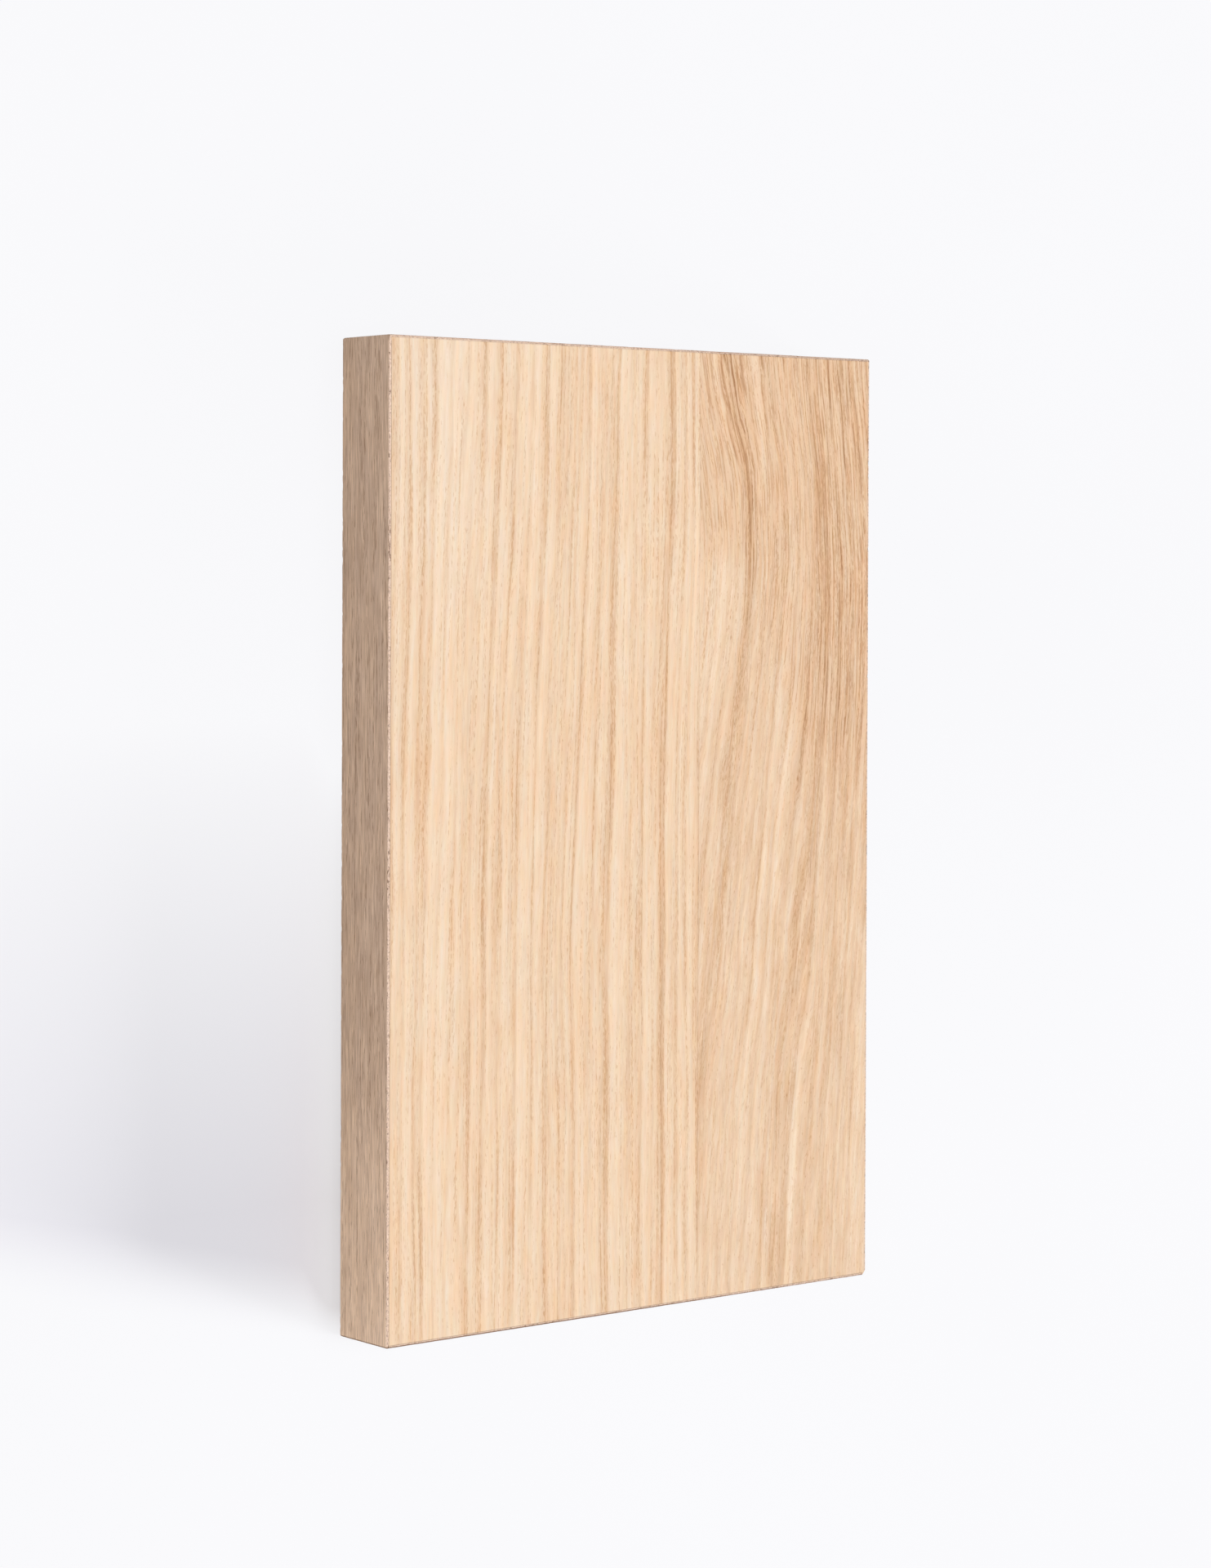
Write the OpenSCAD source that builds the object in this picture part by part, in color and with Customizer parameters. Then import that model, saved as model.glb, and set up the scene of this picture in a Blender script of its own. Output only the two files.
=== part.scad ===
// Oak-veneered panel with oak bands on its four edges, lying on its back.
// X runs across the grain, Y along the grain, Z through the thickness.
// The origin is the middle of the back face. Lengths are in millimetres.

/* [Panel] */
// Finished length of the panel, along the grain
panel_l = 250; // [120:1:600]
// Finished width of the panel, across the grain
panel_w = 161; // [100:1:400]

/* [Layers] */
// Thickness of the core board
core_t = 19; // [9:0.5:30]
// Thickness of the oak veneer on the face
face_veneer_t = 0.6; // [0.4:0.1:1.5]
// Thickness of the oak veneer on the back
back_veneer_t = 0.6; // [0.4:0.1:1.5]

/* [Face seam] */
// Width of the narrower leaf of the face veneer, from the seam to its edge band
right_leaf_w = 60; // [20:1:80]

/* [Edge bands] */
// Thickness of the oak edge bands
band_t = 0.6; // [0.4:0.1:2]

/* [Outer edges] */
// Radius of the sanded round along every outer edge
arris_r = 0.5; // [0.1:0.05:0.8]
// Reach of the knocked corner across the grain
knock_x = 1.4; // [0.5:0.1:3]
// Reach of the knocked corner along the grain
knock_y = 1.7; // [0.5:0.1:3]
// Reach of the knocked corner down from the face
knock_z = 3; // [0.5:0.1:8]

/* [Hidden] */
$fn = 32;

panel_t = back_veneer_t + core_t + face_veneer_t;
board_l = panel_l - 2 * band_t;
board_w = panel_w - 2 * band_t;
left_leaf_w = board_w - right_leaf_w;
core_bottom = back_veneer_t;
core_top = core_bottom + core_t;

face_oak = [0.94, 0.82, 0.69];
warm_face_oak = [0.91, 0.78, 0.65];
band_oak = [0.76, 0.66, 0.56];
fibreboard = [0.62, 0.48, 0.34];

// A rectangle about its own centre, with a round at each corner.
module rounded_rectangle(w, h) {
    square([w, h - 2 * arris_r], center = true);
    square([w - 2 * arris_r, h], center = true);
    for (x = [-1, 1], y = [-1, 1])
        translate([x * (w / 2 - arris_r), y * (h / 2 - arris_r)])
            circle(arris_r);
}

// The outer form of the finished panel: a slab with a round along all twelve edges.
module eased_slab() {
    translate([0, 0, panel_t / 2])
        intersection() {
            linear_extrude(panel_t, center = true)
                rounded_rectangle(panel_w, panel_l);
            rotate([90, 0, 0])
                linear_extrude(panel_l, center = true)
                    rounded_rectangle(panel_w, panel_t);
            rotate([90, 0, 90])
                linear_extrude(panel_w, center = true)
                    rounded_rectangle(panel_l, panel_t);
        }
}

// What is missing where the lower right corner of the face was knocked off.
// Its one flat side passes through a point on each of the three edges that meet there.
module knocked_corner() {
    slope = [1 / knock_x, -1 / knock_y, 1 / knock_z];
    depth = 1 / norm(slope);
    block = 3 * max(knock_x, knock_y, knock_z);
    translate([panel_w / 2, -panel_l / 2, panel_t])
        rotate([0, acos(slope.z / norm(slope)), atan2(slope.y, slope.x)])
            translate([-block / 2, -block / 2, -depth])
                cube(block);
}

// Sands and knocks a piece as it is once the whole panel is glued up.
module finished() {
    difference() {
        intersection() {
            eased_slab();
            children();
        }
        knocked_corner();
    }
}

// A layer of the board between the edge bands, from one height up to another.
module board_layer(bottom, top, w = board_w, x = 0) {
    finished()
        translate([x - w / 2, -board_l / 2, bottom])
            cube([w, board_l, top - bottom]);
}

// A band as tall as the panel is thick, given its middle, its width and its length.
module edge_band(x, y, w, l) {
    color(band_oak)
        finished()
            translate([x - w / 2, y - l / 2, 0])
                cube([w, l, panel_t]);
}

module core_board() {
    color(fibreboard)
        board_layer(core_bottom, core_top);
}

module back_veneer() {
    color(face_oak)
        board_layer(0, core_bottom);
}

module face_veneer_left() {
    color(face_oak)
        board_layer(core_top, panel_t, left_leaf_w, -right_leaf_w / 2);
}

module face_veneer_right() {
    color(warm_face_oak)
        board_layer(core_top, panel_t, right_leaf_w, left_leaf_w / 2);
}

// The long bands run the full length and cover the ends of the short ones.
module edge_band_left() {
    edge_band(-(panel_w - band_t) / 2, 0, band_t, panel_l);
}

module edge_band_right() {
    edge_band((panel_w - band_t) / 2, 0, band_t, panel_l);
}

module edge_band_top() {
    edge_band(0, (panel_l - band_t) / 2, board_w, band_t);
}

module edge_band_bottom() {
    edge_band(0, -(panel_l - band_t) / 2, board_w, band_t);
}

core_board();
back_veneer();
face_veneer_left();
face_veneer_right();
edge_band_left();
edge_band_right();
edge_band_top();
edge_band_bottom();
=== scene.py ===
"""An oak-veneered panel lying on its back, seen from above its left edge.

The CAD frame gives the sizes of the panel and its layers. Each veneer leaf and edge band gets a
fine mesh with the grain's relief in it, and a wood material drawn from the same grain nodes that
raise the relief. Lengths are metres, but those of the grain and names that end in _MM are mm.
"""

import math

import bmesh
import bpy
import numpy as np
from mathutils import Matrix, Vector


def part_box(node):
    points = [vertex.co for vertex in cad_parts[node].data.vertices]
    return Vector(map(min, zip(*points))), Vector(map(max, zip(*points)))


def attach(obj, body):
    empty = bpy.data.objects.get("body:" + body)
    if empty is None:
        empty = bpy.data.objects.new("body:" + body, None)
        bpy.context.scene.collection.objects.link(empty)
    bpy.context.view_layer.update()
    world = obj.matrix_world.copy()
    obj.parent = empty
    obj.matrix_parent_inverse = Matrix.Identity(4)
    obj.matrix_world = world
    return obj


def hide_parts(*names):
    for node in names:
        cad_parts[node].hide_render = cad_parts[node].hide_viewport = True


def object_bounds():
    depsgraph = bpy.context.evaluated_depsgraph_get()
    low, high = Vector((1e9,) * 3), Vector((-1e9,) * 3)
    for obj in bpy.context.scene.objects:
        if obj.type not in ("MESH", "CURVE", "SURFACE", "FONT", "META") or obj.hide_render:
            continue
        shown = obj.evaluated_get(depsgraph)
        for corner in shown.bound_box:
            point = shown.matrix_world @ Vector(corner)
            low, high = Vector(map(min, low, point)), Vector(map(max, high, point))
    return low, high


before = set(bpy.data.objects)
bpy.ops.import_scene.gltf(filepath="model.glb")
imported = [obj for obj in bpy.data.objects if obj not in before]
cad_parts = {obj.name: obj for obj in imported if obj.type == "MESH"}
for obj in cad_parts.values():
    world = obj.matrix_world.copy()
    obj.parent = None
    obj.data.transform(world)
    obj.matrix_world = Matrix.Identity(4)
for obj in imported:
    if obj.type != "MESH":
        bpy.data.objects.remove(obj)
cad_low, cad_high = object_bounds()
PANEL_W, PANEL_L, PANEL_T = cad_high - cad_low
MM = 0.001

WIDTH_MM = PANEL_W / MM
LENGTH_MM = PANEL_L / MM
THICK_MM = PANEL_T / MM
BAND_MM = (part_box("edge_band_left")[1].x - cad_low.x) / MM
SEAM_MM = (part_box("face_veneer_left")[1].x - cad_low.x) / MM    # from the left edge
GLUE_MM = 0.3                         # how far the glue stains the wood beside a band
SKIN_MM = 0.01                        # a leaf's points this near its outer face get the relief

ARRIS_R = 0.5 * MM                    # sanded round along every outer edge
ROUND_PLACES = np.linspace(0, ARRIS_R, 5)
KNOCK = (1.4 * MM, 1.7 * MM, 3 * MM)  # reach of the knocked corner across, along and down
KNOCKED = ("face_veneer_right", "edge_band_right", "edge_band_bottom")
RELIEF_DEPTH = 0.07 * MM              # how far the deepest pores sink
BAKE_MAP = "OFBake"
RAMP_GAPS = 30                        # gaps between the stops of one ramp, which can hold 32
SEED_SHIFTS = (7.31, 3.17)            # noise cells from one seed to the next, across and along
CELL_TURN = 0.65                      # radians


# ---------------------------------------------------------------- node graphs

class Graph:
    """Short names for the nodes that a shader and a geometry graph share."""

    def __init__(self, tree):
        self.tree = tree

    def node(self, kind, inputs=None, **settings):
        made = self.tree.nodes.new(kind)
        for key, value in settings.items():
            setattr(made, key, value)
        for key, value in (inputs or {}).items():
            self.put(made.inputs[key], value)
        return made

    def put(self, socket, value):
        if isinstance(value, bpy.types.NodeSocket):
            self.tree.links.new(value, socket)
        else:
            socket.default_value = value

    def math(self, operation, *values):
        made = self.node("ShaderNodeMath", operation=operation)
        for i, value in enumerate(values):
            self.put(made.inputs[i], value)
        return made.outputs[0]

    def add(self, *values):
        total = values[0]
        for value in values[1:]:
            total = self.math("ADD", total, value)
        return total

    def sub(self, a, b):
        return self.math("SUBTRACT", a, b)

    def mul(self, *values):
        total = values[0]
        for value in values[1:]:
            total = self.math("MULTIPLY", total, value)
        return total

    def either(self, share, a, b):
        """a where share is 0, and b where it is 1."""
        return self.add(self.mul(a, self.sub(1.0, share)), self.mul(b, share))

    def span(self, value, low, high, to_low=0.0, to_high=1.0, smooth=True):
        """Moves low..high to to_low..to_high, and stops at the ends. low may be the larger."""
        made = self.node("ShaderNodeMapRange", clamp=True)
        made.interpolation_type = "SMOOTHSTEP" if smooth else "LINEAR"
        for key, given in zip(
            ("Value", "From Min", "From Max", "To Min", "To Max"),
            (value, low, high, to_low, to_high),
        ):
            self.put(made.inputs[key], given)
        return made.outputs["Result"]

    def vector(self, x, y, z=0.0):
        made = self.node("ShaderNodeCombineXYZ")
        for socket, value in zip(made.inputs, (x, y, z)):
            self.put(socket, value)
        return made.outputs[0]

    def noise(self, across, along, size_across, size_along, seed, detail=1.0):
        """Noise of about 0..1, in cells of the given size in mm.

        The cells are turned, so that their rows don't line up across the grain.
        """
        place = self.vector(
            self.math("MULTIPLY_ADD", across, 1 / size_across, seed * SEED_SHIFTS[0]),
            self.math("MULTIPLY_ADD", along, 1 / size_along, seed * SEED_SHIFTS[1]),
        )
        turned = self.node(
            "ShaderNodeVectorRotate", {"Vector": place, "Angle": CELL_TURN},
            rotation_type="Z_AXIS")
        made = self.node(
            "ShaderNodeTexNoise", {"Vector": turned.outputs[0], "Scale": 1.0, "Detail": detail},
            noise_dimensions="2D")
        return made.outputs[0]

    def streaks(self, across, along, layers, seed):
        """Noise layers round 0, each (mm across, mm along, strength)."""
        waves = [
            self.mul(self.sub(self.noise(across, along, wide, long, seed + i), 0.5), strength)
            for i, (wide, long, strength) in enumerate(layers)
        ]
        return self.add(*waves)

    def curve(self, value, stops):
        """A smooth curve through given (place, height) stops, on as many ramps as it takes.

        Each ramp holds its end heights outside its own stretch, so their changes add up.
        """
        heights = [height for _, height in stops]
        low, high = min(heights), max(heights)
        total = low
        for first in range(0, len(stops) - 1, RAMP_GAPS):
            part = stops[first:first + RAMP_GAPS + 1]
            start, end = part[0][0], part[-1][0]
            made = self.node("ShaderNodeValToRGB")
            self.put(made.inputs[0], self.span(value, start, end, smooth=False))
            shares = [((at - start) / (end - start), (h - low) / (high - low)) for at, h in part]
            self.fill_ramp(made.color_ramp, [(at, (h, h, h, 1)) for at, h in shares])
            gain = self.mul(made.outputs[0], high - low)
            total = self.add(total, gain if first == 0 else self.sub(gain, part[0][1] - low))
        return total

    def colours(self, value, stops):
        """A colour for a value from 0 to 1, from (place, colour) stops."""
        made = self.node("ShaderNodeValToRGB")
        self.put(made.inputs[0], value)
        self.fill_ramp(made.color_ramp, stops, "LINEAR")
        return made.outputs[0]

    def tinted(self, tone, tones, *hues):
        """The colour for a tone, from (tone, 0-255 colour) stops, times the hues."""
        low, high = tones[0][0], tones[-1][0]
        stops = [((at - low) / (high - low), rgb(*colour)) for at, colour in tones]
        plain = self.colours(self.span(tone, low, high, smooth=False), stops)
        hue = hues[0]
        for other in hues[1:]:
            hue = self.mix(1.0, hue, other, "MULTIPLY")
        return self.mix(1.0, plain, hue, "MULTIPLY")

    def mix(self, share, a, b, blend="MIX"):
        """Two colours mixed, on the node's colour sockets."""
        made = self.node("ShaderNodeMix", data_type="RGBA", blend_type=blend)
        for socket, value in ((0, share), (6, a), (7, b)):
            self.put(made.inputs[socket], value)
        return made.outputs[2]

    @staticmethod
    def fill_ramp(ramp, stops, interpolation="EASE"):
        ramp.interpolation = interpolation
        while len(ramp.elements) < len(stops):
            ramp.elements.new(0.5)
        for element, (at, colour) in zip(ramp.elements, sorted(stops)):
            element.position = at
            element.color = colour


def rgb(red, green, blue):
    """A colour as read off a screen, 0 to 255, in Blender's linear values."""
    return tuple(
        c / 12.92 if c <= 0.04045 else ((c + 0.055) / 1.055) ** 2.4
        for c in (red / 255, green / 255, blue / 255)
    ) + (1.0,)


# ---------------------------------------------------------------- grain tables

# The colour of the oak at each tone, a tone being its lightness from 0 to 255.
OAK_TONES = (
    (140, (178, 130, 91)), (165, (202, 156, 116)), (183, (218, 174, 135)), (197, (229, 189, 151)),
    (206, (235, 198, 162)), (216, (242, 210, 176)), (224, (247, 219, 188)), (236, (254, 231, 205)),
)
# The same for the edge bands, which are greyer.
BAND_TONES = (
    (120, (146, 113, 88)), (150, (175.5, 143, 119)), (180, (205, 173, 149)),
    (206, (233, 199, 171)), (224, (251, 217, 188)), (240, (255, 235, 212)),
)
# Growth rings, as (mm from the panel's left edge, how dark the line there is, how dark the wood
# is just past it). They count along the left leaf half-way up, and along the right leaf where
# its grain turns.
LEFT_RINGS = (
    (0.4, 0.60, 0.10), (4.8, 0.75, 0.08), (9.5, 0.65, 0.30), (11.6, 0.80, 0.00), (16.0, 0.35, 0.00),
    (20.1, 0.40, 0.10), (22.6, 0.40, 0.30), (25.4, 0.75, 0.20), (30.0, 0.80, 0.12),
    (34.5, 0.75, 0.12), (39.6, 0.70, 0.02), (45.1, 0.65, 0.12), (49.7, 0.70, 0.38),
    (54.3, 0.65, 0.35), (56.2, 0.50, 0.30), (59.5, 0.75, 0.12), (65.4, 0.60, 0.30),
    (70.2, 0.90, 0.10), (77.0, 0.50, 0.35), (80.5, 0.65, 0.15), (84.3, 0.45, 0.40),
    (88.0, 1.15, 0.18), (92.7, 0.65, 0.10), (96.0, 0.65, 0.15),
    (100.2, 0.90, 0.30), (104.0, 0.5, 0.3),
)
RIGHT_RINGS = (
    (98.0, 0.40, 0.12), (104.8, 0.45, 0.10), (107.6, 0.38, 0.05), (112.2, 0.60, 0.15),
    (116.9, 1.10, 0.75), (119.4, 0.55, 0.35), (122.4, 0.55, 0.38), (125.7, 0.50, 0.30),
    (129.7, 0.70, 0.05), (134.0, 0.50, 0.08), (139.2, 0.85, 0.30), (143.1, 1.00, 0.65),
    (146.4, 1.10, 0.25), (151.2, 0.95, 0.45), (156.0, 0.80, 0.40), (159.9, 0.95, 0.25),
    (163.4, 0.65, 0.35), (165.4, 0.65, 0.02), (171.0, 0.45, 0.10), (176.0, 0.50, 0.20),
)
# The right leaf's long dark vessels, as (mm among its rings, how dark), and how far one fades out.
VESSEL_REACH = 0.3
VESSELS = (
    (104.2, 0.4), (107.4, 0.4), (109.3, 0.7), (110.2, 0.5), (114.3, 0.6), (115.4, 0.8), (116.6, 0.7),
    (117.9, 1.0), (118.8, 0.7), (121.2, 0.5), (125.0, 0.5), (128.4, 0.4), (133.2, 0.4),
    (136.9, 0.4), (140.8, 0.7), (142.3, 0.9), (143.6, 1.0), (145.3, 0.9), (146.7, 1.0),
    (147.6, 0.7), (148.6, 0.8), (150.6, 0.9), (151.4, 0.7), (153.1, 0.6), (154.4, 1.0),
    (156.3, 0.7), (157.4, 0.9), (158.6, 1.0), (160.2, 0.9), (162.0, 0.6), (163.8, 0.8),
    (165.4, 0.6), (167.1, 0.7), (169.0, 0.5),
)
# How far the right leaf's grain lies left of where it turns, as (mm from the top, mm), at the
# leaf's left side, its middle and its right side.
FLOW_LEFT = ((0, 9.0), (15, 5.4), (30, 1.9), (45, 0.2), (55, 0.0), (70, 1.3), (90, 4.4),
             (110, 7.5), (140, 11.1), (180, 14.8), (250, 20.2))
FLOW_MIDDLE = ((0, 4.2), (15, 2.2), (30, 0.5), (50, 0.0), (62, 0.3), (75, 1.6), (100, 4.8),
               (125, 8.4), (150, 11.2), (200, 14.4), (250, 17.8))
FLOW_RIGHT = ((0, 6.0), (15, 4.1), (30, 2.2), (50, 0.4), (62, 0.0), (75, 0.3), (100, 1.5),
              (140, 4.9), (180, 8.1), (250, 13.6))
# Cream streaks in the right leaf, as (mm among its rings, mm from the top, half its length, half
# its width, how much paler in tone).
STREAKS = (
    (147.6, 214, 44, 0.8, 11), (131.3, 158, 34, 0.8, 5), (135.2, 112, 24, 0.9, 5),
    (103.8, 78, 30, 1.6, 6), (108.1, 72, 26, 1.4, 7), (122.6, 58, 6, 0.5, 12),
    (121.0, 60, 7, 0.4, 12),
    (119.4, 84, 7, 0.4, 10), (158.9, 72, 26, 0.5, 8), (168.0, 222, 30, 0.9, 8),
    (113.1, 8, 12, 0.9, 9), (111.8, 24, 10, 0.8, 8), (160.5, 9, 14, 1.0, 8), (154.3, 2, 4, 0.5, 8),
)
# Its boldest dark vessels near the top, in the same way: they are darker, so below 0.
BOLD_VESSELS = (
    (151.0, 7, 9, 0.35, -48), (154.6, 18, 16, 0.3, -42), (147.9, 6, 6, 0.4, -26),
    (157.2, 11, 4, 0.3, -26), (159.9, 28, 9, 0.28, -30), (147.6, 18, 5, 0.35, -26),
    (144.5, 32, 7, 0.3, -22), (147.9, 36, 10, 0.5, -20), (109.9, 8, 8, 0.5, -24),
    (115.1, 10, 10, 0.4, -34), (113.8, 23, 8, 0.35, -32), (117.9, 6, 8, 0.35, -36),
    (120.3, 5, 7, 0.4, -30), (125.8, 2, 3, 0.4, -26), (133.2, 2, 3, 0.35, -22),
    (125.3, 15, 7, 0.5, -16), (117.1, 38, 12, 0.6, -18), (108.5, 29, 5, 0.35, -22),
)
# Hues that the oak's colour is multiplied by, as gains of its red, green and blue.
PLAIN_HUE = (1, 1, 1, 1)
COOL_HUE = (0.995, 1.018, 1.036, 1)
WARM_HUE = (1, 0.968, 0.944, 1)
FADED_HUE = (1.0, 1.045, 1.1, 1)
ROSY_HUE = (0.988, 0.9955, 1.023, 1)
BAND_COOL_HUE = (0.984, 1.013, 0.999, 1)
BAND_WARM_HUE = (0.993, 1.01, 0.97, 1)
BAND_RIM_HUE = (0.97, 1.005, 1.085, 1)
# How much the leaves' fine warm streaks and fine pink ones add to red, green and blue.
FINE_WARM = (0.06, -0.017, -0.13)
FINE_PINK = (0.022, -0.03, 0.035)
# Wood this much paler or darker than usual is as much warmer or cooler as it gets.
PALER_REACH = 14
PALER_GAIN = 0.085
GLUE_COLOUR = (150, 118, 100)
GLUE_STRENGTH = 0.6
FIBREBOARD_COLOURS = ((168, 138, 104), (200, 170, 132))

# Layers of streaks, as (mm across the grain, mm along it, strength). A wander's strength is the
# mm that it shifts the rings sideways.
LEFT_WANDER = ((13, 120, 3.2), (5, 50, 0.9))
RIGHT_WANDER = ((14, 120, 1.5), (5, 60, 0.7), (3.2, 24, 0.8))
BACK_WANDER = ((14, 140, 5.0), (5, 60, 0.8))
LEFT_LAYERS = ((2.4, 70, 10), (1.3, 16, 15), (0.66, 8, 17), (0.32, 3.2, 13))
RIGHT_LAYERS = ((2.6, 50, 14), (1.4, 15, 18), (0.7, 8, 17), (0.34, 3.2, 12))
FLAME_LAYERS = ((0.6, 7, 12), (1.4, 15, 17), (3.0, 30, 10))
HAIR_LAYERS = ((0.3, 3.6, 13),)
BAND_LAYERS = ((5, 20, 14), (2.4, 30, 18), (1.0, 18, 26), (0.5, 11, 42), (0.28, 6, 52))
WARM_LAYERS = ((1.2, 9, 1.0), (1.3, 40, 1.0))
PINK_LAYERS = ((1.8, 6, 1.0),)
BLOTCH_LAYERS = ((3, 9, 1.0), (5, 30, 1.0))
# Places along the bands where the corner with the face is bruised most.
BRUISES = (51, 134)

# The tone of each leaf's pale wood and of the bands' wood, before streaks are added.
LEFT_TONE = 224
RIGHT_TONE = 221.5
BACK_TONE = 226
BAND_TONE = 182
# What the darkest part of each mark adds to the tone.
RING_DARK = -27
LEFT_PORE_DARK = -19
RIGHT_PORE_DARK = (-21, -13)          # at the top of the leaf, and further down
BACK_PORE_DARK = -17
BAND_PORE_DARK = -36
VESSEL_DARK = -48
SPECK_DARK = -15
CHIP_DARK = -50
# A painted contact shadow on the arrises at the panel's lower end.
END_SHADE_DARK = -105


# ---------------------------------------------------------------- grain

def panel_mm(g, place):
    """Distance from the panel's left edge, from its top edge and from its back, in mm."""
    x, y, z = g.node("ShaderNodeSeparateXYZ", {0: place}).outputs
    from_left = g.math("MULTIPLY_ADD", x, 1 / MM, WIDTH_MM / 2)
    from_top = g.math("MULTIPLY_ADD", y, -1 / MM, LENGTH_MM / 2)
    return from_left, from_top, g.mul(z, 1 / MM)


def to_edges(g, x, y):
    """Distance to the panel's nearer side, and to its nearer end."""
    to_side = g.math("MINIMUM", x, g.sub(WIDTH_MM, x))
    to_end = g.math("MINIMUM", y, g.sub(LENGTH_MM, y))
    return to_side, to_end


def ring_stops(rings):
    """Each ring starts pale just past its dark line, and darkens slowly towards the next."""
    stops = []
    for (place, dark, pale), (next_place, next_dark, _) in zip(rings, rings[1:]):
        gap = next_place - place
        pale_at = place + min(1.3, 0.38 * gap)
        dusk_at = next_place - 0.27 * gap
        dusk = pale + 0.45 * (next_dark - pale)
        stops += [(place, dark), (pale_at, pale), (dusk_at, dusk)]
    return stops + [rings[-1][:2]]


def flow(g, along, stops):
    """A smooth curve through given (mm from the top, shift in mm) stops."""
    end = stops[-1][0]
    most = max(shift for _, shift in stops)
    made = g.node("ShaderNodeValToRGB")
    g.put(made.inputs[0], g.mul(along, 1 / end))
    shares = [(at / end, (shift / most,) * 3 + (1,)) for at, shift in stops]
    g.fill_ramp(made.color_ramp, shares, "B_SPLINE")
    return g.mul(made.outputs[0], most)


def left_place(g, x, y):
    """Where the left leaf's grain at a point stands among its rings: it leans a little."""
    drift = g.sub(g.span(y, 0, 125), 1.0)
    lean = g.add(g.span(x, 8, 38, 1.6, 4.6), g.span(x, 44, 74, 0.0, -1.8))
    late = g.mul(g.span(y, 125, 250), g.span(x, 4, 26, 1.3, -0.6))
    sway = g.mul(g.span(y, 95, 165, -0.6, 1.1), g.span(x, 8, 16), g.span(x, 82, 68))
    wander = g.streaks(x, y, LEFT_WANDER, seed=3)
    return g.add(x, g.mul(drift, lean), late, sway, wander)


def right_place(g, x, y):
    """The same for the right leaf: its grain falls to the right, turns, then runs back left."""
    shift = g.add(
        flow(g, y, FLOW_LEFT),
        g.mul(g.span(x, 104, 124), g.sub(flow(g, y, FLOW_MIDDLE), flow(g, y, FLOW_LEFT))),
    )
    to_right = g.span(x, 126, 145)
    shift = g.add(shift, g.mul(to_right, g.sub(flow(g, y, FLOW_RIGHT), shift)))
    sway = g.mul(
        g.span(x, 100, 124, -0.7, -1.4), g.span(x, 148, 138),
        g.span(y, 12, 35), g.span(y, 200, 165))
    wander = g.streaks(x, y, RIGHT_WANDER, seed=5)
    return g.add(x, shift, sway, wander)


def pores(g, across, along, seed, edge, size_across=0.24, size_along=1.7):
    """Short dark vessels in rows along the grain, 1 inside one, and pale flecks between them.

    edge is the noise above which a vessel starts.
    """
    rows = g.noise(across, along, 0.5, 55, seed)
    dashes = g.noise(across, along, size_across, size_along, seed + 1)
    field = g.add(g.mul(rows, 0.5), g.mul(dashes, 0.5))
    return g.span(field, edge, g.add(edge, 0.05)), g.span(dashes, 0.36, 0.26)


def leaf_marks(g, x, y, ring_place, rings, layers, pale_tone, seed, calm=1.0, quicken=0.0):
    """What a leaf's colour and relief are drawn from.

    ring is the place among its rings, tan is how far into a ring's dark line it is, pore is 1
    inside a pore, and tone is the lightness before the pores are drawn. calm thins the rings and
    fibres. quicken makes the rings' strength change faster along the grain, from 115 mm down.
    """
    tan = g.curve(ring_place, ring_stops(rings))
    run = g.add(y, g.mul(g.math("MAXIMUM", g.sub(y, 115), 0.0), quicken))
    patchy = g.span(g.noise(ring_place, run, 3.2, 75, seed + 1), 0.3, 0.7, 0.68, 1.32)
    tan = g.mul(tan, patchy, calm)
    fibres = g.mul(
        g.streaks(ring_place, y, layers, seed + 2), calm,
        g.span(tan, 0.0, 0.7, 0.62, 1.25, smooth=False))
    pore, fleck = pores(g, ring_place, y, seed + 8, g.span(tan, 0.15, 0.75, 0.62, 0.54))
    tone = g.add(pale_tone, g.mul(tan, RING_DARK), fibres, g.mul(fleck, tan, 5))
    return {"x": x, "y": y, "ring": ring_place, "tan": tan, "fibres": fibres, "pore": pore,
            "tone": tone}


def leaf_height(g, marks, lines=0.0):
    """1 on the sanded surface, and 0 at the bottom of the deepest pores and vessel lines."""
    sink = g.math("MAXIMUM", g.mul(marks["pore"], 0.55), lines)
    worn = g.mul(marks["tan"], 0.22)
    return g.sub(1.0, g.math("MINIMUM", g.add(sink, worn), 1.0))


# Each leaf adds these to its marks: skin is 1 where the relief is raised, cool and faded move its
# hue, rosy is how pink it is, and usual is the tone round which its paler streaks are warmer.

def left_leaf(g, place):
    x, y, z = panel_mm(g, place)
    marks = leaf_marks(
        g, x, y, left_place(g, x, y), LEFT_RINGS, LEFT_LAYERS, LEFT_TONE, seed=20, calm=0.86)
    marks["cool"] = 0.1
    marks["faded"] = g.mul(g.span(x, 48, 12), g.span(y, 105, 10))
    marks["rosy"] = 0.6
    marks["usual"] = 213
    marks["tone"] = g.add(
        marks["tone"], g.mul(marks["pore"], LEFT_PORE_DARK), g.mul(marks["fibres"], 0.12),
        g.span(x, 2.2, 1.0, 0.0, -6), g.span(y, 45, 105, 1.8, 0.0),
        g.span(y, 150, 210, -0.2, 0.5))
    marks["height"] = leaf_height(g, marks)
    marks["skin"] = g.math("GREATER_THAN", z, THICK_MM - SKIN_MM)
    return marks


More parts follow.
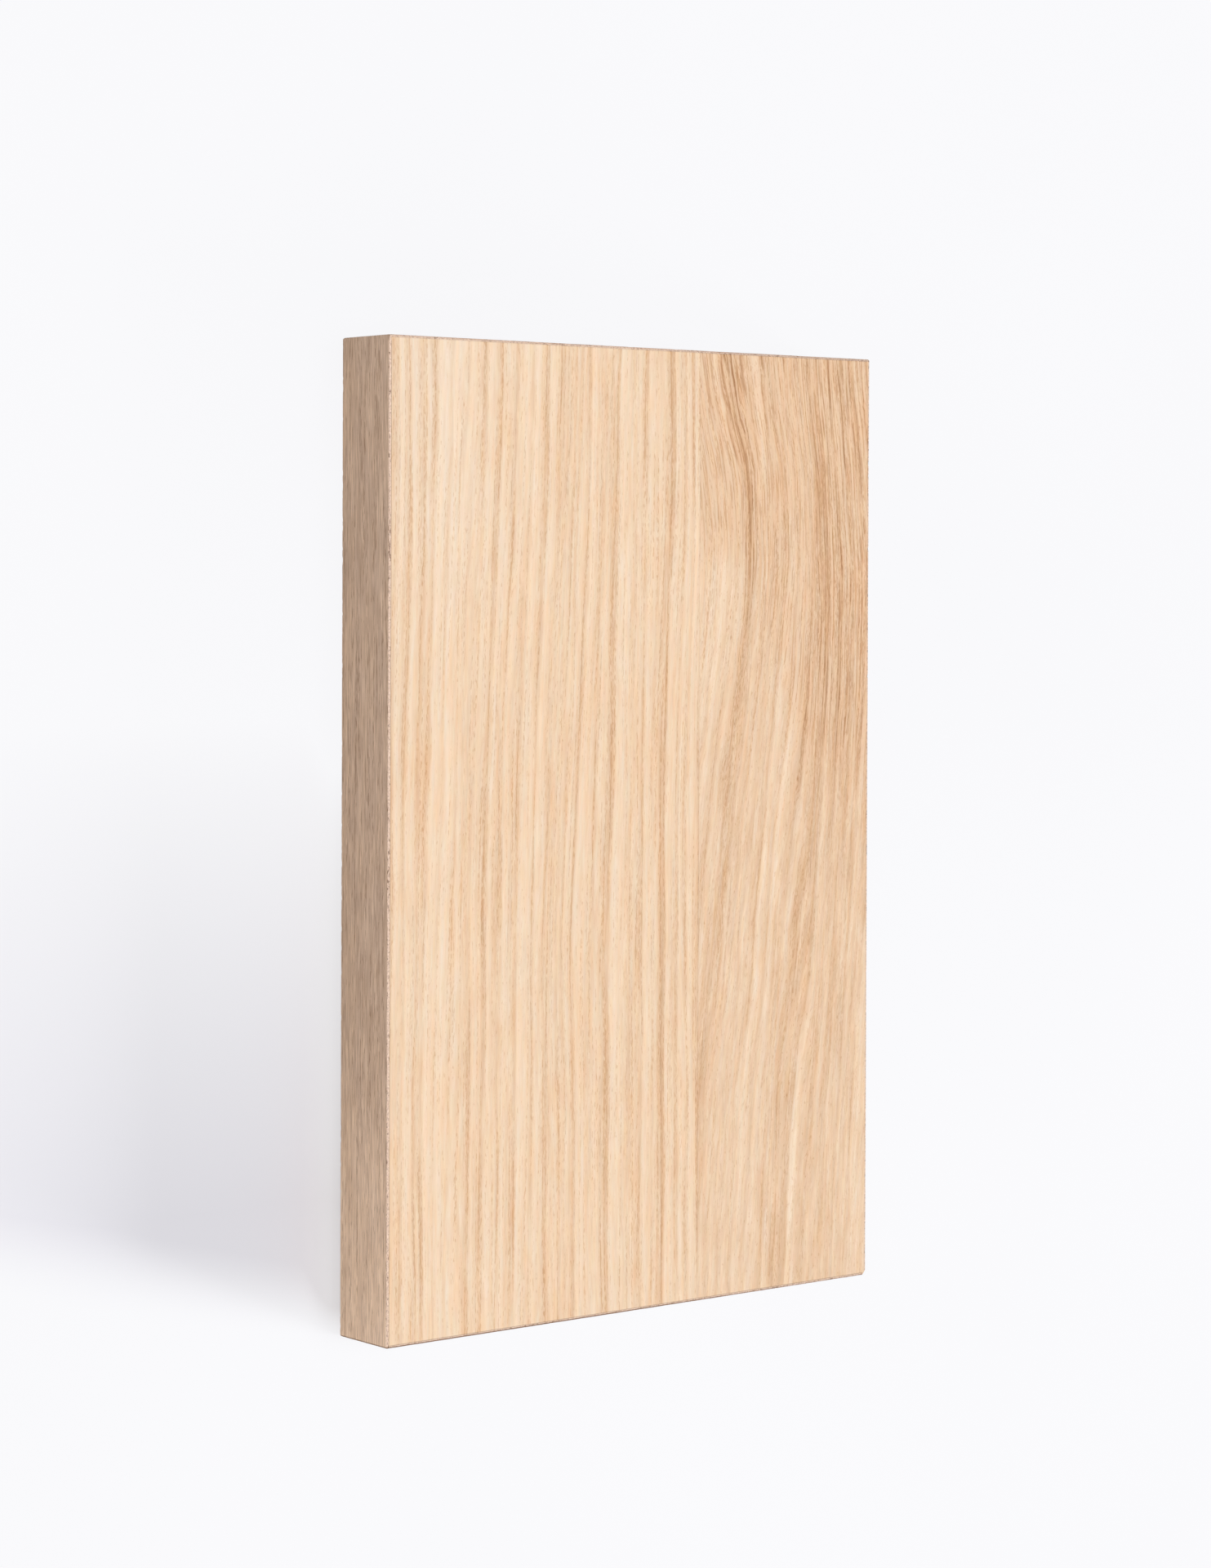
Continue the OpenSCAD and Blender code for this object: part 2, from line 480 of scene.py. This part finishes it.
def vessel_lines(g, ring_place, y):
    """Long dark vessels, about 0.3 mm wide, that break off and start again."""
    stops = [(VESSELS[0][0] - 1, 0.0)]
    for place, dark in VESSELS:
        stops += [(place - VESSEL_REACH, 0.0), (place, dark), (place + VESSEL_REACH, 0.0)]
    unbroken = g.span(g.noise(ring_place, y, 0.9, 14, seed=61), 0.4, 0.55)
    placed = g.mul(g.curve(ring_place, stops), unbroken)
    short = g.span(g.noise(ring_place, y, 0.36, 11, seed=62), 0.61, 0.68, 0.0, 0.6)
    wide = g.span(g.noise(ring_place, y, 0.85, 18, seed=63), 0.58, 0.7, 0.0, 0.22)
    return g.math("MAXIMUM", g.math("MAXIMUM", placed, short), wide)


def streak(g, off_line, off_middle, half_length, half_width, gain):
    """A streak that changes the tone by gain, from the distances to its line and its middle."""
    beside = g.span(g.math("ABSOLUTE", off_line), 0.3 * half_width, half_width, 1.0, 0.0)
    beyond = g.span(g.math("ABSOLUTE", off_middle), 0.5 * half_length, half_length, 1.0, 0.0)
    return g.mul(beside, beyond, gain)


def placed_streaks(g, ring_place, x, y):
    """What the right leaf's streaks and bold vessels change in its tone, one value for each."""
    changes = [
        streak(g, g.sub(ring_place, ring), g.sub(y, at), long, wide, gain)
        for ring, at, long, wide, gain in STREAKS + BOLD_VESSELS
    ]
    # One more pale streak stands upright across the leaning grain at the top.
    off_line = g.sub(x, g.span(y, 0, 24, 119.3, 121.8))
    changes.append(streak(g, off_line, g.sub(y, 4), half_length=44, half_width=1.9, gain=9))
    return changes


def lower_flames(g, ring_place, y):
    """Soft flames low in the right leaf, which lean a little more than its rings."""
    leaning = g.math("MULTIPLY_ADD", y, 0.045, ring_place)
    return g.mul(g.streaks(leaning, y, FLAME_LAYERS, seed=84), g.span(y, 110, 150))


def right_leaf(g, place):
    x, y, z = panel_mm(g, place)
    calm = g.mul(g.span(y, 60, 115, 1.0, 0.84), g.span(y, 125, 200, 1.0, 0.72))
    marks = leaf_marks(
        g, x, y, right_place(g, x, y), RIGHT_RINGS, RIGHT_LAYERS, RIGHT_TONE, seed=40,
        calm=calm, quicken=1.6)
    ring_place = marks["ring"]
    # The top of the leaf, and more of its right side, is browner and cut by long dark vessels.
    reach = g.span(x, 112, 142, 52, 106)
    top = g.span(g.sub(y, reach), -13, 13, 1.0, 0.0)
    lines = g.mul(vessel_lines(g, ring_place, y), g.span(top, 0.0, 1.0, 0.15, 1.0))
    bright = g.math("MAXIMUM", g.sub(marks["tone"], 207), 0.0)
    specks = g.span(g.noise(ring_place, y, 0.5, 1.9, seed=97), 0.7, 0.77)
    marks["tone"] = g.add(
        marks["tone"], g.mul(top, marks["fibres"], -0.2), g.mul(top, bright, -0.65),
        g.mul(top, g.span(x, 122, 138, -0.4, 1.3)),
        g.span(y, 60, 120, 0.0, -2.6), g.span(y, 150, 210, 0.0, -1.3), g.mul(lines, VESSEL_DARK),
        g.mul(marks["pore"], g.span(y, 85, 130, *RIGHT_PORE_DARK)), g.mul(specks, SPECK_DARK),
        lower_flames(g, ring_place, y), g.streaks(ring_place, y, HAIR_LAYERS, seed=98),
        *placed_streaks(g, ring_place, x, y))
    marks["cool"] = g.add(g.span(top, 0.0, 1.0, 0.25, 0.08), g.span(y, 150, 230, 0.0, 0.15))
    marks["faded"] = 0.0
    marks["rosy"] = g.span(y, 20, 110, 0.6, 1.0)
    marks["usual"] = g.span(top, 0.0, 1.0, 206, 196)
    marks["height"] = leaf_height(g, marks, lines)
    marks["skin"] = g.math("GREATER_THAN", z, THICK_MM - SKIN_MM)
    return marks


def back_leaf(g, place):
    """The back has rings half as wide again as the face's left leaf."""
    x, y, z = panel_mm(g, place)
    ring_place = g.mul(g.add(x, g.streaks(x, y, BACK_WANDER, seed=130)), 0.64)
    marks = leaf_marks(g, x, y, ring_place, LEFT_RINGS, LEFT_LAYERS, BACK_TONE, seed=70)
    marks["cool"] = 0.0
    marks["faded"] = 0.0
    marks["rosy"] = 0.6
    marks["usual"] = 215
    marks["tone"] = g.add(marks["tone"], g.mul(marks["pore"], BACK_PORE_DARK))
    marks["height"] = leaf_height(g, marks)
    marks["skin"] = g.math("LESS_THAN", z, SKIN_MM)
    return marks


def band_damage(g, x, z, across, along):
    """Chips along the corner with the face, worse in two stretches, and flakes at the back."""
    worst = g.add(*[
        g.span(g.math("ABSOLUTE", g.sub(along, at)), 3, 11, 1.0, 0.0) for at in BRUISES])
    bite = g.noise(across, along, 0.5, 1.1, seed=121, detail=2)
    bitten = g.add(bite, g.mul(worst, g.span(x, 20, 40, 0.12, 0.04)))
    chip = g.mul(g.span(z, THICK_MM - 0.5, THICK_MM - 0.25), g.span(bitten, 0.66, 0.71))
    torn = g.noise(across, along, 0.7, 1.6, seed=122, detail=2)
    flake = g.mul(g.span(z, 0.7, 0.2), g.span(torn, 0.57, 0.63))
    return chip, flake


def rim_tone(g, x, y, across, along):
    """The tone of a band's corner with the face, which is darkest at the panel's top end."""
    speck = g.noise(across, along, 0.28, 0.55, seed=120, detail=2)
    at_top = g.mul(g.span(y, 0.65, 0.6), g.span(x, 0.5, 1.0))
    return g.add(
        g.mul(at_top, g.span(x, 70, 120, -14, -27)), g.span(x, 150, 159, 214, 207),
        g.span(speck, 0.56, 0.66, 0.0, 16), g.span(speck, 0.46, 0.36, 0.0, -24))


def painted_end_shade(g, x, y, z, to_side):
    """Up to 1 on the arrises at the panel's lower end, which get a painted contact shadow."""
    at_end = g.span(y, LENGTH_MM - 0.5, LENGTH_MM - 0.3)
    at_arris = g.math(
        "MAXIMUM", g.span(z, THICK_MM - 0.6, THICK_MM - 0.3), g.span(to_side, 0.6, 0.3))
    return g.mul(at_end, at_arris, g.span(x, 70, 155, 1.0, 0.45))


def band_marks(g, place):
    """An edge band's grain runs along its edge, and its corner with the face is bruised."""
    x, y, z = panel_mm(g, place)
    to_side, to_end = to_edges(g, x, y)
    upright = g.math("LESS_THAN", to_side, BAND_MM + 0.001)
    along = g.either(upright, x, y)
    across = g.add(z, g.mul(g.either(upright, y, x), 0.7))
    fibres = g.streaks(across, along, BAND_LAYERS, seed=100)
    pore, fleck = pores(
        g, across, along, seed=110, edge=0.6, size_across=0.22, size_along=3.2)
    chip, flake = band_damage(g, x, z, across, along)
    # Painted light: the bands are painted lighter towards the panel's lower end, as if lit by the
    # floor there. They are also painted lighter near their back edge at z = 0, against the shade
    # that the floor casts on them.
    painted_end_light = g.span(y, 168, 222)
    tone = g.add(
        BAND_TONE, fibres, g.mul(pore, BAND_PORE_DARK), g.mul(fleck, 6), g.mul(painted_end_light, 19),
        g.mul(flake, 8), g.span(z, 0, 7, 9, 0, smooth=False),
        g.mul(painted_end_light, g.span(z, 0.3, 2.2, 11, 0)))
    rim = g.span(z, THICK_MM - 0.42, THICK_MM - 0.2)
    # The arrises at the panel's lower end are darkened by a painted contact shadow.
    tone = g.add(
        g.either(rim, tone, rim_tone(g, x, y, across, along)), g.mul(chip, CHIP_DARK),
        g.mul(painted_end_shade(g, x, y, z, to_side), END_SHADE_DARK))
    height = g.sub(
        1.0, g.add(g.mul(pore, 0.45), g.mul(chip, 3.0), g.mul(flake, 1.2),
                   g.span(fibres, 0.0, -9.0, 0.0, 0.4)))
    inner = g.math("MINIMUM", to_side, to_end)
    return {"along": along, "across": across, "pore": pore, "tone": tone, "height": height,
            "rim": rim, "skin": g.span(inner, BAND_MM, BAND_MM - 0.2)}


# ---------------------------------------------------------------- colours

def fine_hue(g, marks):
    """Gains of red, green and blue: fine streaks are warmer or pinker than the wood beside them."""
    ring_place, y = marks["ring"], marks["y"]
    paler = g.span(
        g.sub(marks["tone"], marks["usual"]), -PALER_REACH, PALER_REACH, -PALER_GAIN, PALER_GAIN,
        smooth=False)
    warm = g.add(g.streaks(ring_place, y, WARM_LAYERS, seed=92), paler)
    pink = g.add(g.streaks(ring_place, y, PINK_LAYERS, seed=94), paler)
    return g.vector(*[
        g.add(1.0, g.mul(warm, by_warm), g.mul(pink, by_pink))
        for by_warm, by_pink in zip(FINE_WARM, FINE_PINK)])


def leaf_colour(g, marks):
    blush = g.add(
        g.noise(marks["ring"], marks["y"], 3.4, 11, seed=90),
        g.noise(marks["x"], marks["y"], 9, 35, seed=91))
    warm = g.span(g.sub(blush, marks["cool"]), 0.7, 1.3, smooth=False)
    hue = g.mix(marks["faded"], g.mix(warm, COOL_HUE, WARM_HUE), FADED_HUE)
    rosy = g.mix(marks["rosy"], PLAIN_HUE, ROSY_HUE)
    return g.tinted(marks["tone"], OAK_TONES, hue, rosy, fine_hue(g, marks))


def band_colour(g, marks):
    blotch = g.streaks(marks["across"], marks["along"], BLOTCH_LAYERS, seed=150)
    hue = g.mix(g.span(blotch, -0.25, 0.25), BAND_COOL_HUE, BAND_WARM_HUE)
    return g.tinted(marks["tone"], BAND_TONES, g.mix(marks["rim"], hue, BAND_RIM_HUE))


# ---------------------------------------------------------------- materials

WOOD_ROUGHNESS = (0.58, 0.85)         # on the wood, and inside a pore
FIBREBOARD_ROUGHNESS = (0.8, 0.95)
WOOD_SPECULAR = 0.2
BUMP_STRENGTH = 0.6


def new_material(name):
    made = bpy.data.materials.new(name)
    made.use_nodes = True
    made.node_tree.nodes.clear()
    g = Graph(made.node_tree)
    shader = g.node("ShaderNodeBsdfPrincipled")
    output = g.node("ShaderNodeOutputMaterial")
    g.tree.links.new(shader.outputs[0], output.inputs[0])
    place = g.node("ShaderNodeTexCoord").outputs["Object"]
    return made, g, shader, place


def bump(g, shader, height, depth):
    made = g.node(
        "ShaderNodeBump", {"Height": height, "Distance": depth, "Strength": BUMP_STRENGTH})
    g.put(shader.inputs["Normal"], made.outputs[0])


def wood_surface(g, shader, marks, colour):
    """Wood that is duller inside its pores."""
    g.put(shader.inputs["Base Color"], colour)
    g.put(shader.inputs["Roughness"], g.span(marks["pore"], 0, 1, *WOOD_ROUGHNESS))
    shader.inputs["Specular IOR Level"].default_value = WOOD_SPECULAR
    bump(g, shader, marks["height"], RELIEF_DEPTH)


def glue_lines(g, marks):
    """1 in the dark hairlines of glue at the left and bottom bands, and fainter in the others."""
    x, y = marks["x"], marks["y"]
    inside = g.sub(g.math("MINIMUM", *to_edges(g, x, y)), BAND_MM)
    dark = g.mul(
        g.span(y, 1.2, 1.6, 0.3, 1.0), g.span(x, WIDTH_MM - 1.6, WIDTH_MM - 1.2, 1.0, 0.3))
    at_bands = g.mul(g.span(inside, 0.05, GLUE_MM, 1.0, 0.0), dark)
    off_seam = g.math("ABSOLUTE", g.sub(x, SEAM_MM))
    return g.math("MAXIMUM", at_bands, g.span(off_seam, 0.05, 0.2, 0.12, 0.0))


def leaf_material(name, leaf):
    made, g, shader, place = new_material(name)
    marks = leaf(g, place)
    glue = g.mul(glue_lines(g, marks), GLUE_STRENGTH)
    wood_surface(g, shader, marks, g.mix(glue, leaf_colour(g, marks), rgb(*GLUE_COLOUR)))
    return made


def band_material(name):
    made, g, shader, place = new_material(name)
    marks = band_marks(g, place)
    wood_surface(g, shader, marks, band_colour(g, marks))
    return made


def two_colours(g, value, colours):
    """From the first colour at 0.3 to the second at 0.7."""
    return g.colours(value, [(0.3, rgb(*colours[0])), (0.7, rgb(*colours[1]))])


def core_material(name):
    made, g, shader, place = new_material(name)
    fluff = g.node("ShaderNodeTexNoise", {"Vector": place, "Scale": 2500.0, "Detail": 4.0})
    fluff = fluff.outputs[0]
    g.put(shader.inputs["Base Color"], two_colours(g, fluff, FIBREBOARD_COLOURS))
    g.put(shader.inputs["Roughness"], g.span(fluff, 0.3, 0.7, *FIBREBOARD_ROUGHNESS))
    bump(g, shader, fluff, depth=0.1 * MM)
    return made


# ---------------------------------------------------------------- meshes

# A slab's faces, by the axis that each looks along and its end of that axis.
SLAB_FACES = [(axis, end) for axis in range(3) for end in ("low", "high")]
END_INDEX = {"low": 0, "high": -1}
SHARP_ANGLE = math.radians(40)        # edges that bend more than this stay sharp
MAIN_FACING = 0.7                     # how straight a main side's faces look out, as a cosine
# Where a piece's main side starts on its bake map, and how much of the map's sides it takes.
MAP_START = 0.02
MAP_SIZE = 0.9
# Where the strips for its narrow sides start, how far apart they are, and how wide.
STRIP_START = 0.945
STRIP_STEP = 0.012
STRIP_WIDTH = 0.01


def even(low, high, step):
    """Evenly spaced places from low to high, no further apart than step."""
    return np.linspace(low, high, max(1, math.ceil((high - low) / step - 1e-9)) + 1)


def eased(low, high, step):
    """Places from low to high, close together where the sanded rounds end the panel."""
    return np.concatenate([
        low + ROUND_PLACES[:-1],
        even(low + ARRIS_R, high - ARRIS_R, step),
        high - ROUND_PLACES[:-1][::-1],
    ])


def sanded(points):
    """Points on the sharp slab moved onto its sanded rounds."""
    low, high = np.array(cad_low), np.array(cad_high)
    core = np.clip(points, low + ARRIS_R, high - ARRIS_R)
    out = points - core
    reach = np.linalg.norm(out, axis=1, keepdims=True)
    return core + out * np.minimum(1.0, ARRIS_R / np.maximum(reach, 1e-12))


def used_points(shape, fine_faces):
    """Which of a grid's points are used: all on its fine faces, and the corners of the others."""
    used = np.zeros(shape, bool)
    for axis, end in SLAB_FACES:
        fine = (axis, end) in fine_faces
        at = [slice(None) if fine else slice(None, None, count - 1) for count in shape]
        at[axis] = END_INDEX[end]
        used[tuple(at)] = True
    return used


def grid_faces(sheet):
    """The quads of a sheet of point numbers."""
    quads = np.stack(
        [sheet[:-1, :-1], sheet[1:, :-1], sheet[1:, 1:], sheet[:-1, 1:]], axis=-1)
    return quads.reshape(-1, 4)


def plain_face(sheet):
    """One face round a sheet of point numbers, where -1 is a point that isn't used."""
    loop = np.concatenate([
        sheet[:-1, 0], sheet[-1, :-1], sheet[::-1, -1][:-1], sheet[0, ::-1][:-1]])
    return loop[loop >= 0].reshape(1, -1)


def slab_mesh(name, lines, fine_faces):
    """A box whose fine_faces are grids on the given lines, and whose other faces are plain.

    lines is the x, y and z places; fine_faces is a set of (axis, "low" or "high").
    """
    used = used_points([len(line) for line in lines], fine_faces)
    numbers = np.full(used.shape, -1)
    numbers[used] = np.arange(used.sum())
    index = np.argwhere(used)
    points = np.stack([lines[axis][index[:, axis]] for axis in range(3)], axis=1)
    faces = []
    for axis, end in SLAB_FACES:
        sheet = np.take(numbers, END_INDEX[end], axis=axis)
        made = grid_faces(sheet) if (axis, end) in fine_faces else plain_face(sheet)
        inward = (end == "low") != (axis == 1)
        faces.extend((made[:, ::-1] if inward else made).tolist())
    mesh = bpy.data.meshes.new(name)
    mesh.from_pydata(sanded(points).tolist(), [], faces)
    mesh.validate()
    return mesh


def knock_corner(mesh):
    """Takes off what lies outside the knocked corner's flat side, and closes the cut."""
    slope = Vector((1 / KNOCK[0], -1 / KNOCK[1], 1 / KNOCK[2]))
    tip = Vector((PANEL_W / 2, -PANEL_L / 2, PANEL_T))
    edited = bmesh.new()
    edited.from_mesh(mesh)
    everything = edited.verts[:] + edited.edges[:] + edited.faces[:]
    cut = bmesh.ops.bisect_plane(
        edited, geom=everything, dist=1e-7, clear_outer=True,
        plane_co=tip - slope.normalized() / slope.length, plane_no=slope)
    rim = [e for e in cut["geom_cut"] if isinstance(e, bmesh.types.BMEdge) and e.is_boundary]
    bmesh.ops.holes_fill(edited, edges=rim)
    edited.normal_update()
    edited.to_mesh(mesh)
    edited.free()


def loop_sides(mesh, main_axis):
    """For each loop, the axis that its face looks along, or -1 on the mesh's main sides."""
    sides = np.full(len(mesh.loops), -1)
    for face in mesh.polygons:
        facing = [abs(c) for c in face.normal]
        if facing[main_axis] < MAIN_FACING:
            loops = range(face.loop_start, face.loop_start + face.loop_total)
            sides[loops] = facing.index(max(facing))
    return sides


def lay_bake_map(mesh, flat_axes):
    """A map for baking that stretches the piece's main side over most of the square.

    Its narrow sides go in four thin strips beyond that, along the square's top and right.
    """
    corners = np.empty(len(mesh.loops), int)
    mesh.loops.foreach_get("vertex_index", corners)
    places = np.empty(len(mesh.vertices) * 3)
    mesh.vertices.foreach_get("co", places)
    places = places.reshape(-1, 3)
    low, high = places.min(0), places.max(0)
    share = ((places - low) / (high - low))[corners]
    flat = share * MAP_SIZE + MAP_START
    depth_axis = 3 - sum(flat_axes)
    uv = flat[:, list(flat_axes)]
    sides = loop_sides(mesh, depth_axis)
    for column, (axis, along) in enumerate((flat_axes, flat_axes[::-1])):
        pick = sides == axis
        far_end = share[pick, axis] > 0.5
        depth = share[pick, depth_axis]
        uv[pick, column] = STRIP_START + STRIP_STEP * far_end + STRIP_WIDTH * depth
        uv[pick, 1 - column] = flat[pick, along]
    layer = mesh.uv_layers.new(name=BAKE_MAP)
    layer.data.foreach_set("uv", uv.astype(np.float32).ravel())


def raise_relief(obj, grain):
    """Sinks the piece's skin into its pores, by the grain nodes that its material uses."""
    tree = bpy.data.node_groups.new(obj.name + "_relief", "GeometryNodeTree")
    tree.interface.new_socket("Geometry", in_out="INPUT", socket_type="NodeSocketGeometry")
    tree.interface.new_socket("Geometry", in_out="OUTPUT", socket_type="NodeSocketGeometry")
    g = Graph(tree)
    given = g.node("NodeGroupInput")
    result = g.node("NodeGroupOutput")
    marks = grain(g, g.node("GeometryNodeInputPosition").outputs[0])
    sink = g.mul(g.sub(marks["height"], 1.0), marks["skin"], RELIEF_DEPTH)
    outward = g.node("GeometryNodeInputNormal").outputs[0]
    move = g.node("ShaderNodeVectorMath", {0: outward, 3: sink}, operation="SCALE").outputs[0]
    moved = g.node("GeometryNodeSetPosition", {"Geometry": given.outputs[0], "Offset": move})
    tree.links.new(moved.outputs[0], result.inputs[0])
    modifier = obj.modifiers.new("relief", "NODES")
    modifier.node_group = tree
    graph = bpy.context.evaluated_depsgraph_get()
    mesh = bpy.data.meshes.new_from_object(obj.evaluated_get(graph))
    obj.modifiers.remove(modifier)
    obj.data = mesh
    bpy.data.node_groups.remove(tree)


# ---------------------------------------------------------------- pieces

def add_piece(name, node, material, mesh, grain):
    obj = bpy.data.objects.new(name, mesh)
    bpy.context.scene.collection.objects.link(obj)
    mesh.materials.append(material)
    raise_relief(obj, grain)
    obj.data.polygons.foreach_set("use_smooth", [True] * len(obj.data.polygons))
    obj.data.set_sharp_from_angle(angle=SHARP_ANGLE)
    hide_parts(node)
    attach(obj, "root")


def leaf_piece(name, node, leaf, step_across, step_along, outer="high"):
    """A veneer leaf in its node's box, with a fine mesh on the side that shows."""
    low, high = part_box(node)
    lines = (
        even(low.x, high.x, step_across),
        even(low.y, high.y, step_along),
        np.array([low.z, high.z]),
    )
    mesh = slab_mesh(name, lines, {(2, outer)})
    if node in KNOCKED:
        knock_corner(mesh)
    lay_bake_map(mesh, (0, 1))
    add_piece(name, node, leaf_material("oak_" + name, leaf), mesh, leaf)


def band_piece(name, node, material, step_along, step_up):
    """An edge band in its node's box, with a fine mesh on the sides that show.

    The bands along y cover the ends of the other two, so only theirs are rounded.
    """
    low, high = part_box(node)
    long_axis = 1 if high.y - low.y > high.x - low.x else 0
    thin_axis = 1 - long_axis
    outer = "low" if abs(low[thin_axis]) > abs(high[thin_axis]) else "high"
    lines = [None, None, eased(low.z, high.z, step_up)]
    if outer == "low":
        lines[thin_axis] = np.append(low[thin_axis] + ROUND_PLACES, high[thin_axis])
    else:
        lines[thin_axis] = np.append(low[thin_axis], (high[thin_axis] - ROUND_PLACES)[::-1])
    fine = {(thin_axis, outer), (2, "low"), (2, "high")}
    if long_axis == 1:
        lines[1] = eased(low.y, high.y, step_along)
        fine |= {(1, "low"), (1, "high")}
    else:
        lines[0] = even(low.x, high.x, step_along)
    mesh = slab_mesh(name, lines, fine)
    if node in KNOCKED:
        knock_corner(mesh)
    lay_bake_map(mesh, (2, 1) if long_axis == 1 else (0, 2))
    add_piece(name, node, material, mesh, band_marks)


def add_panel():
    leaf_piece(
        "left_leaf", "face_veneer_left", left_leaf,
        step_across=0.27 * MM, step_along=1.0 * MM)
    leaf_piece(
        "right_leaf", "face_veneer_right", right_leaf,
        step_across=0.25 * MM, step_along=0.9 * MM)
    leaf_piece(
        "back_leaf", "back_veneer", back_leaf,
        step_across=0.5 * MM, step_along=1.5 * MM, outer="low")
    oak_band = band_material("oak_band")
    for side in ("left", "right", "top", "bottom"):
        band_piece(
            side + "_band", "edge_band_" + side, oak_band,
            step_along=0.6 * MM, step_up=0.27 * MM)
    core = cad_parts["core_board"]
    core.data.materials.clear()
    core.data.materials.append(core_material("fibreboard"))


# ---------------------------------------------------------------- stage

# The floor's colours: as plain paper, and where it takes light and shadow.
PAPER_COLOURS = ((249, 249, 251), (251, 251, 253))
SHADED_COLOURS = ((216, 215, 221), (218, 217, 223))
# How far the panel is turned before the camera, in degrees, from lying square to it.
CAMERA_YAW = 38.983
CAMERA_PITCH = 0.737
CAMERA_ROLL = -0.214
# The panel's lower left corner at the back, as mm to the right of, above and behind the camera.
CORNER_SEEN_MM = (-66.7, -178.8, -941.2)
FOCAL_LENGTH_MM = 86.22
SENSOR_WIDTH_MM = 36
CAMERA_SHIFT = -0.1028


def seen_rays(g):
    """1 for what the camera sees itself, in a reflection or through something, else 0."""
    rays = g.node("ShaderNodeLightPath").outputs
    seen = g.math("MAXIMUM", rays["Is Camera Ray"], rays["Is Glossy Ray"])
    return g.math("MAXIMUM", seen, rays["Is Transmission Ray"])


def paper_share(g, place):
    """How much of the floor is seen as paper: least in the shadow at the panel's lower left."""
    x, y, _ = g.node("ShaderNodeSeparateXYZ", {0: place}).outputs
    upward = g.span(y, -0.36 * PANEL_L, 0.12 * PANEL_L, 0.05, 0.95, smooth=False)
    beside = g.mul(
        g.span(x, -0.575 * PANEL_W, -0.515 * PANEL_W),
        g.span(y, 0.05 * PANEL_L, -0.42 * PANEL_L, 0.1, 0.45))
    share = g.math("MINIMUM", g.add(upward, beside), 0.95)
    low_edge = g.add(y, g.mul(g.add(x, PANEL_W / 2), 0.26))
    below = g.span(low_edge, -0.42 * PANEL_L, -0.52 * PANEL_L, 0.0, 0.95)
    to_right = g.span(x, -0.5 * PANEL_W, -0.4 * PANEL_W, 0.0, 0.95)
    return g.math("MAXIMUM", g.math("MAXIMUM", share, below), to_right)


def add_floor():
    """A pale floor. The camera sees part of it as plain pale paper, which thins its shadows."""
    bpy.ops.mesh.primitive_plane_add(size=20)
    floor = bpy.context.object
    floor.name = "floor"
    made, g, shader, place = new_material("pale_floor")
    speck = g.node("ShaderNodeTexNoise", {"Vector": place, "Scale": 3.0, "Detail": 2.0}).outputs[0]
    g.put(shader.inputs["Base Color"], two_colours(g, speck, SHADED_COLOURS))
    shader.inputs["Roughness"].default_value = 0.9
    shader.inputs["Specular IOR Level"].default_value = 0.0
    paper = two_colours(g, speck, PAPER_COLOURS)
    glow = g.node("ShaderNodeEmission", {"Color": paper, "Strength": 1.0})
    both = g.node("ShaderNodeMixShader", {
        0: g.mul(seen_rays(g), paper_share(g, place)),
        1: shader.outputs[0],
        2: glow.outputs[0],
    })
    output = next(node for node in made.node_tree.nodes if node.type == "OUTPUT_MATERIAL")
    g.put(output.inputs[0], both.outputs[0])
    floor.data.materials.append(made)
    return floor


def add_soft_light(name, place, size, power, only=None):
    """A round lamp that faces the panel's middle, and lights every object or only one."""
    lamp = bpy.data.lights.new(name, "AREA")
    lamp.shape = "DISK"
    lamp.size = size
    lamp.energy = power
    obj = bpy.data.objects.new(name, lamp)
    obj.location = place
    obj.rotation_mode = "QUATERNION"
    obj.rotation_quaternion = (-Vector(place)).to_track_quat("-Z", "Y")
    bpy.context.scene.collection.objects.link(obj)
    if only:
        lit = bpy.data.collections.new(name + "_lights")
        lit.objects.link(only)
        obj.light_linking.receiver_collection = lit


def add_world(strength):
    """White light from all round, and a backdrop that is seen as full white."""
    world = bpy.data.worlds.new("studio")
    world.use_nodes = True
    world.node_tree.nodes.clear()
    g = Graph(world.node_tree)
    shade = g.node("ShaderNodeBackground", {
        "Color": (1, 1, 1, 1), "Strength": g.span(seen_rays(g), 0.0, 1.0, strength, 1.0)})
    output = g.node("ShaderNodeOutputWorld")
    g.tree.links.new(shade.outputs[0], output.inputs[0])
    bpy.context.scene.world = world


def add_camera():
    """The camera that sees the panel's face turned from it, with its top edge up the frame."""
    turn = (
        Matrix.Rotation(math.radians(CAMERA_ROLL), 3, "Z")
        @ Matrix.Rotation(math.radians(CAMERA_PITCH), 3, "X")
        @ Matrix.Rotation(math.radians(CAMERA_YAW), 3, "Y")
    )
    to_corner = Vector((-PANEL_W / 2, -PANEL_L / 2, 0))
    place = to_corner - turn.transposed() @ (Vector(CORNER_SEEN_MM) * MM)
    lens = bpy.data.cameras.new("camera")
    lens.sensor_width = SENSOR_WIDTH_MM
    lens.lens = FOCAL_LENGTH_MM
    lens.shift_y = CAMERA_SHIFT
    lens.clip_start = 0.01
    camera = bpy.data.objects.new("camera", lens)
    camera.matrix_world = Matrix.Translation(place) @ turn.transposed().to_4x4()
    bpy.context.scene.collection.objects.link(camera)
    bpy.context.scene.camera = camera


def add_stage():
    floor = add_floor()
    add_world(strength=0.45)
    add_soft_light("key", (1.1, 0.2, 5.6), size=3.4, power=182)
    add_soft_light("fill", (-3.0, -1.6, 1.0), size=2.0, power=20)
    # A low lamp draws the panel's long shadow on the floor. It doesn't light the panel.
    add_soft_light("low", (3.4, -1.3, 0.65), size=1.3, power=236, only=floor)
    add_camera()
    bpy.context.scene.view_settings.view_transform = "Standard"


add_panel()
add_stage()
